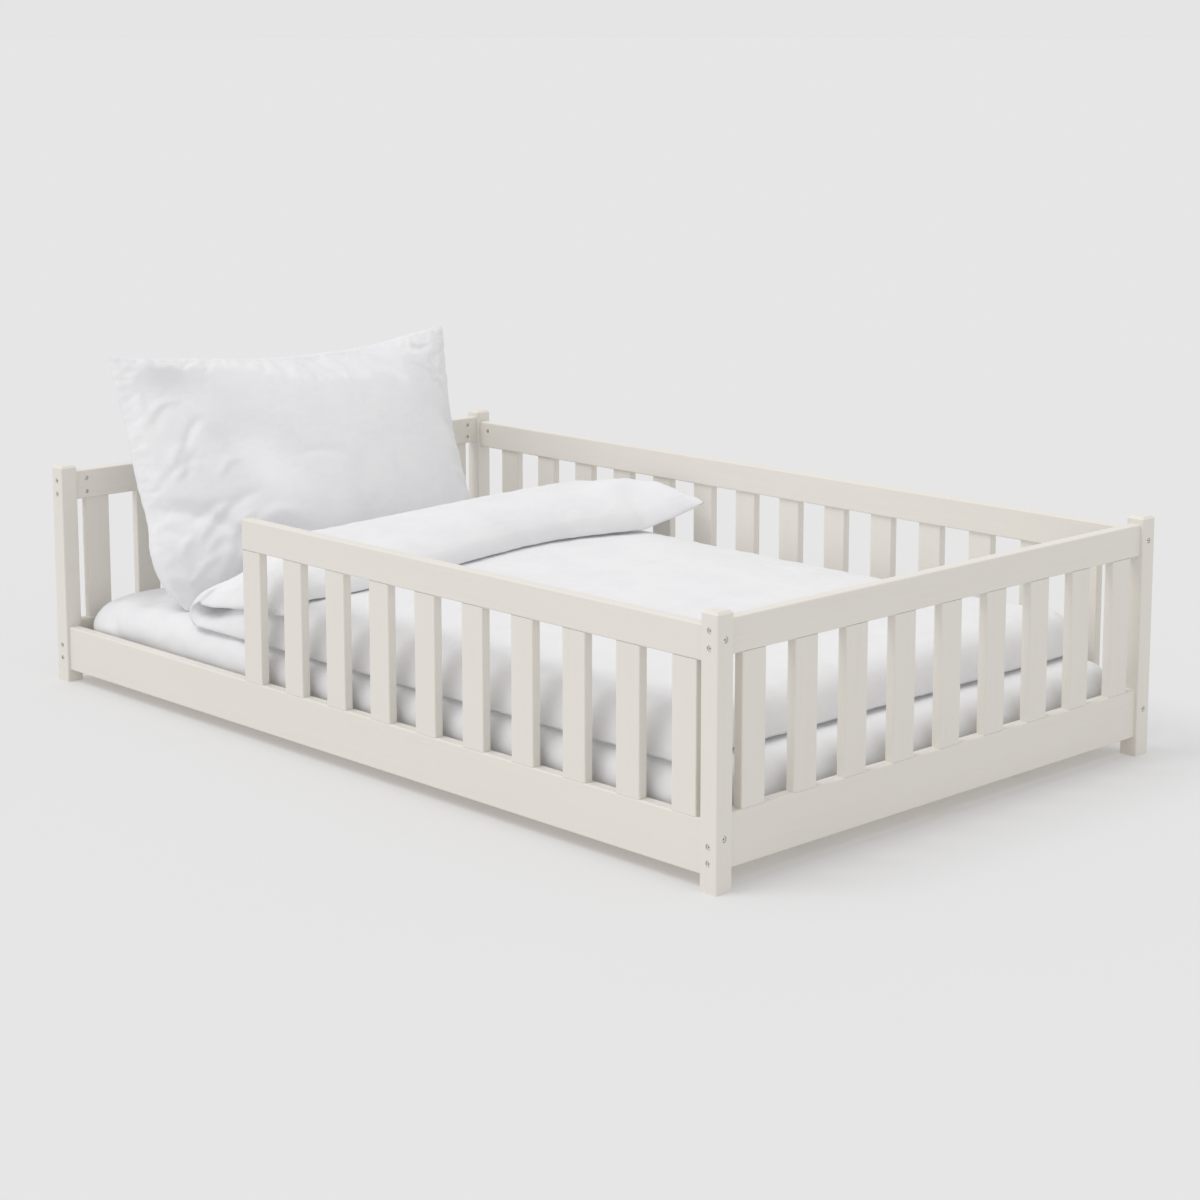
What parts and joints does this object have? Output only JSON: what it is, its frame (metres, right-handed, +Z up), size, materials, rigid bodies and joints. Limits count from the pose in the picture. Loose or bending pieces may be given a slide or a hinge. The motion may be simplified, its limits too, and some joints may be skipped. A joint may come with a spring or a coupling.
{
  "type": "toddler bed",
  "caption": "Low painted-wood child's floor bed with slatted fence panels on four sides, an entrance gap at the head, a loose slatted base, mattress, duvet and pillow.",
  "frame": {"origin": "on the floor, under the middle of the bed", "axes": "+X towards the foot, -Y towards the front side with the entrance gap, +Z up"},
  "size_m": [2.09, 1.29, 0.7452],
  "materials": {
    "painted_wood": "satin off-white paint",
    "bare_pine": "planed, uncoated",
    "zinc_steel": "zinc-plated",
    "webbing": "woven polyester tape",
    "mattress_ticking": "knitted ticking",
    "fitted_sheet": "cotton, matt",
    "duvet_cover": "cotton, matt",
    "pillow_cover": "cotton, matt"
  },
  "bodies": {
    "bed_frame": {"post_head_near": "painted_wood", "post_head_far": "painted_wood", "post_foot_near": "painted_wood", "post_foot_far": "painted_wood", "front_top_rail": "painted_wood", "front_bottom_board": "painted_wood", "back_top_rail": "painted_wood", "back_bottom_board": "painted_wood", "head_top_rail": "painted_wood", "head_bottom_board": "painted_wood", "foot_top_rail": "painted_wood", "foot_bottom_board": "painted_wood", "front_slat_1": "painted_wood", "front_slat_2": "painted_wood", "front_slat_3": "painted_wood", "front_slat_4": "painted_wood", "front_slat_5": "painted_wood", "front_slat_6": "painted_wood", "front_slat_7": "painted_wood", "front_slat_8": "painted_wood", "front_slat_9": "painted_wood", "front_slat_10": "painted_wood", "head_slat_1": "painted_wood", "head_slat_2": "painted_wood", "head_slat_3": "painted_wood", "head_slat_4": "painted_wood", "head_slat_5": "painted_wood", "head_slat_6": "painted_wood", "head_slat_7": "painted_wood", "head_slat_8": "painted_wood", "head_slat_9": "painted_wood", "foot_slat_1": "painted_wood", "foot_slat_2": "painted_wood", "foot_slat_3": "painted_wood", "foot_slat_4": "painted_wood", "foot_slat_5": "painted_wood", "foot_slat_6": "painted_wood", "foot_slat_7": "painted_wood", "foot_slat_8": "painted_wood", "foot_slat_9": "painted_wood", "back_slats": "painted_wood", "ledge_near": "bare_pine", "ledge_far": "bare_pine", "centre_beam": "bare_pine", "beam_feet": "bare_pine", "dowels": "bare_pine", "beam_brackets": "zinc_steel", "end_bolts": "zinc_steel", "side_bolts": "zinc_steel", "barrel_nuts": "zinc_steel", "wood_screws": "zinc_steel", "bracket_screws": "zinc_steel"},
    "slatted_base": {"base_slats": "bare_pine", "base_tapes": "webbing", "base_staples": "zinc_steel"},
    "mattress": {"mattress": "mattress_ticking", "fitted_sheet": "fitted_sheet"},
    "duvet": {"duvet": "duvet_cover"},
    "pillow": {"pillow": "pillow_cover"}
  },
  "joints": [
    {"name": "base_lift", "type": "slide", "parent": "bed_frame", "child": "slatted_base", "axis": [0, 0, 1], "range_m": [0, 0.45]},
    {"name": "mattress_lift", "type": "slide", "parent": "slatted_base", "child": "mattress", "axis": [0, 0, 1], "range_m": [0, 0.42]},
    {"name": "duvet_lift", "type": "slide", "parent": "mattress", "child": "duvet", "axis": [0, 0, 1], "range_m": [0, 0.3]},
    {"name": "pillow_lift", "type": "slide", "parent": "mattress", "child": "pillow", "axis": [0, 0, 1], "range_m": [0, 0.3]}
  ]
}
